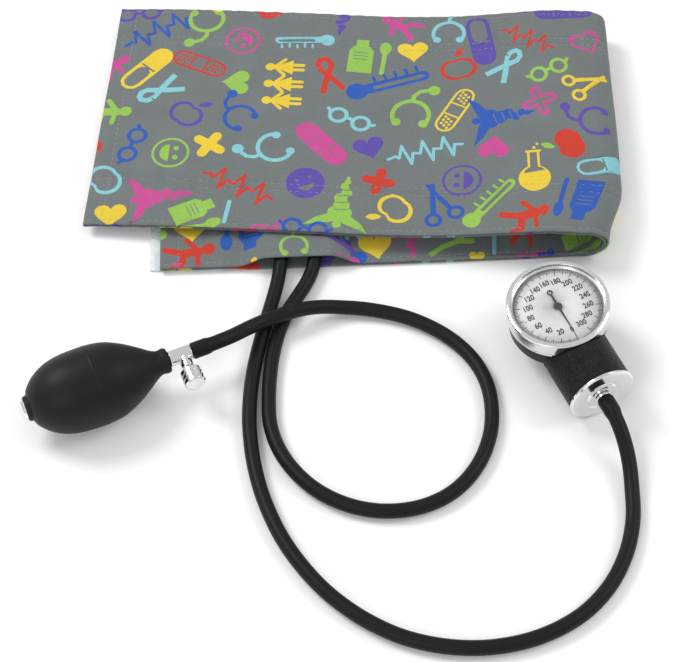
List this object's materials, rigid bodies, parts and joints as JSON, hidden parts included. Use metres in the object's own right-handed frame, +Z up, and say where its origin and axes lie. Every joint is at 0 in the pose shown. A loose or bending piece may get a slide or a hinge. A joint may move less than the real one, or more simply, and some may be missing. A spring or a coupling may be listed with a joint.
{
  "type": "aneroid blood pressure monitor",
  "caption": "Folded printed arm cuff joined by black hoses to a squeeze bulb with a thumb release valve and to a round dial pressure gauge",
  "frame": {"origin": "on the table, below the middle of the box round everything except the two hoses", "axes": "+X to the right along the folded cuff, +Y away from the gauge and bulb across the cuff, +Z up from the table"},
  "size_m": [0.2824, 0.3747, 0.0376],
  "materials": {
    "cuff_lower_outer": "printed woven nylon",
    "cuff_lower_inner": "printed woven nylon",
    "cuff_fold_outer": "printed woven nylon",
    "cuff_fold_inner": "printed woven nylon",
    "cuff_flap_outer": "printed woven nylon",
    "cuff_flap_inner": "printed woven nylon",
    "loop_patch": "brushed loop tape",
    "hook_patch": "white hook tape",
    "bladder": "satin black rubber",
    "bulb_hose": "satin black rubber",
    "gauge_hose": "satin black rubber",
    "squeeze_bulb": "satin black rubber",
    "end_valve_body": "bright chrome",
    "inlet_ball": "plain steel",
    "inlet_retainer": "lacquered brass",
    "release_valve_body": "bright chrome",
    "outlet_ball": "plain steel",
    "outlet_retainer": "lacquered brass",
    "seal_pad": "natural nylon",
    "release_screw": "plain steel",
    "thumb_knob": "bright chrome",
    "gauge_case": "black wrinkle paint",
    "case_plug": "satin black rubber",
    "case_band": "bright chrome",
    "bezel_ring": "bright chrome",
    "crystal": "clear",
    "lens_seat": "pale grey",
    "dial_plate": "white enamel",
    "dial_screw_1": "plain steel",
    "dial_screw_2": "plain steel",
    "bottom_plate": "lacquered brass",
    "bridge_plate": "lacquered brass",
    "movement_post_1": "lacquered brass",
    "movement_post_2": "lacquered brass",
    "movement_post_3": "lacquered brass",
    "pillar_1": "lacquered brass",
    "pillar_2": "lacquered brass",
    "pillar_3": "lacquered brass",
    "sector_gear": "lacquered brass",
    "sector_shaft": "plain steel",
    "arbor_pinion": "plain steel",
    "hairspring": "plain steel",
    "pointer": "black wrinkle paint",
    "push_rod": "plain steel",
    "capsule": "lacquered brass",
    "neck_housing": "black wrinkle paint",
    "neck_disc": "bright chrome",
    "hose_barb": "bright chrome",
    "back_clip": "plain steel",
    "clip_rivet_1": "plain steel",
    "clip_rivet_2": "plain steel"
  },
  "bodies": {
    "base": {"cuff_lower_outer": "cuff_lower_outer", "cuff_lower_inner": "cuff_lower_inner", "cuff_fold_outer": "cuff_fold_outer", "cuff_fold_inner": "cuff_fold_inner", "hook_patch": "hook_patch", "bladder": "bladder", "bulb_hose": "bulb_hose", "gauge_hose": "gauge_hose", "squeeze_bulb": "squeeze_bulb", "end_valve_body": "end_valve_body", "inlet_retainer": "inlet_retainer", "release_valve_body": "release_valve_body", "outlet_retainer": "outlet_retainer", "gauge_case": "gauge_case", "case_plug": "case_plug", "case_band": "case_band", "bezel_ring": "bezel_ring", "crystal": "crystal", "lens_seat": "lens_seat", "dial_plate": "dial_plate", "dial_screw_1": "dial_screw_1", "dial_screw_2": "dial_screw_2", "bottom_plate": "bottom_plate", "bridge_plate": "bridge_plate", "movement_post_1": "movement_post_1", "movement_post_2": "movement_post_2", "movement_post_3": "movement_post_3", "pillar_1": "pillar_1", "pillar_2": "pillar_2", "pillar_3": "pillar_3", "hairspring": "hairspring", "capsule": "capsule", "neck_housing": "neck_housing", "neck_disc": "neck_disc", "hose_barb": "hose_barb", "back_clip": "back_clip", "clip_rivet_1": "clip_rivet_1", "clip_rivet_2": "clip_rivet_2"},
    "cuff_flap": {"cuff_flap_outer": "cuff_flap_outer", "cuff_flap_inner": "cuff_flap_inner", "loop_patch": "loop_patch"},
    "inlet_ball": {"inlet_ball": "inlet_ball"},
    "outlet_ball": {"outlet_ball": "outlet_ball"},
    "seal_pad": {"seal_pad": "seal_pad"},
    "thumb_screw": {"release_screw": "release_screw", "thumb_knob": "thumb_knob"},
    "push_rod": {"push_rod": "push_rod"},
    "sector": {"sector_gear": "sector_gear", "sector_shaft": "sector_shaft"},
    "pointer": {"pointer": "pointer", "arbor_pinion": "arbor_pinion"}
  },
  "joints": [
    {"name": "cuff_unfold", "type": "hinge", "parent": "base", "child": "cuff_flap", "pos_m": [0.12873, 0.04267, 0.0125], "axis": [0, 1, 0], "range_deg": [0, 180], "deforming": ["cuff_fold_outer", "cuff_fold_inner"]},
    {"name": "inlet_ball_lift", "type": "slide", "parent": "base", "child": "inlet_ball", "axis": [0.9186, 0.3952, 0], "range_m": [0, 0.001]},
    {"name": "outlet_ball_lift", "type": "slide", "parent": "base", "child": "outlet_ball", "axis": [0.9186, 0.3952, 0], "range_m": [0, 0.001]},
    {"name": "seal_pad_travel", "type": "slide", "parent": "base", "child": "seal_pad", "axis": [0.3952, -0.9186, 0], "range_m": [0, 0.00075]},
    {"name": "release_screw_turn", "type": "hinge", "parent": "seal_pad", "child": "thumb_screw", "pos_m": [-0.06487, -0.10682, 0.0188], "axis": [0.3952, -0.9186, 0], "range_deg": [0, 540]},
    {"name": "sector_turn", "type": "hinge", "parent": "base", "child": "sector", "pos_m": [0.09474, -0.06646, 0.02352], "axis": [-0.0796, -0.0356, 0.9962], "range_deg": [0, 33.75]},
    {"name": "pointer_turn", "type": "hinge", "parent": "base", "child": "pointer", "pos_m": [0.10302, -0.07653, 0.02995], "axis": [-0.0796, -0.0356, 0.9962], "range_deg": [-337.5, 0], "stiffness_Nm_per_rad": 0.000002, "deforming": ["hairspring"]},
    {"name": "push_rod_travel", "type": "slide", "parent": "base", "child": "push_rod", "axis": [-0.408, 0.913, 0], "range_m": [0, 0.00235], "deforming": ["capsule"]}
  ],
  "couplings": [
    {"joint": "pointer_turn", "follows": "push_rod_travel", "rad_per_m": -2500},
    {"joint": "sector_turn", "follows": "push_rod_travel", "rad_per_m": 250},
    {"joint": "release_screw_turn", "follows": "seal_pad_travel", "rad_per_m": 12566}
  ]
}
